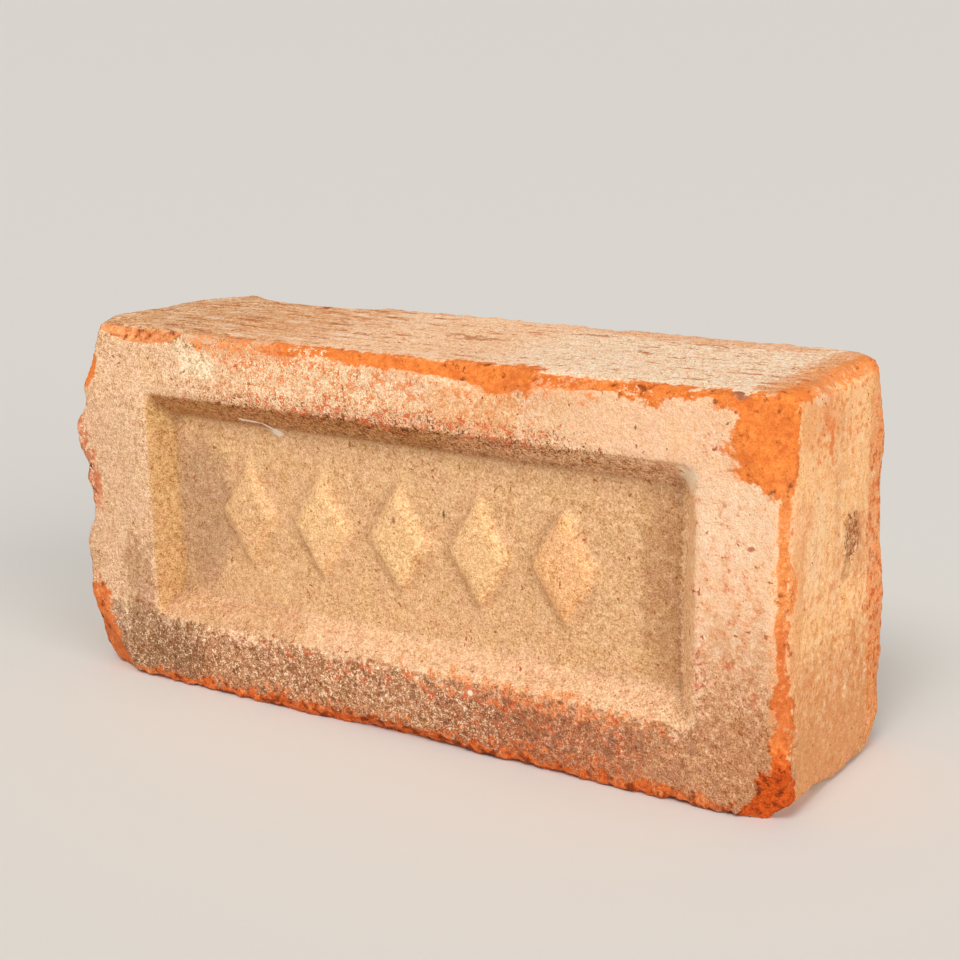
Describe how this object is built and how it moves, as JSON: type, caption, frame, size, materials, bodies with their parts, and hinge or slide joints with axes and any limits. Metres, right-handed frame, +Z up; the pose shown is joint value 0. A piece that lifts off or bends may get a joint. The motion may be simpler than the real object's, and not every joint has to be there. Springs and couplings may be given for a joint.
{
  "type": "clay brick",
  "caption": "Worn fired-clay brick standing on its long narrow face, with a tapered frog holding a row of raised lozenges.",
  "frame": {"origin": "middle of the footprint, on the floor that the brick stands on", "axes": "+X along the brick, -Y out of the frogged bed face, +Z up through the narrow face it doesn't stand on"},
  "size_m": [0.203, 0.057, 0.096],
  "materials": {
    "fired_clay": "rough"
  },
  "bodies": {
    "root": {"brick": "fired_clay"}
  },
  "joints": []
}
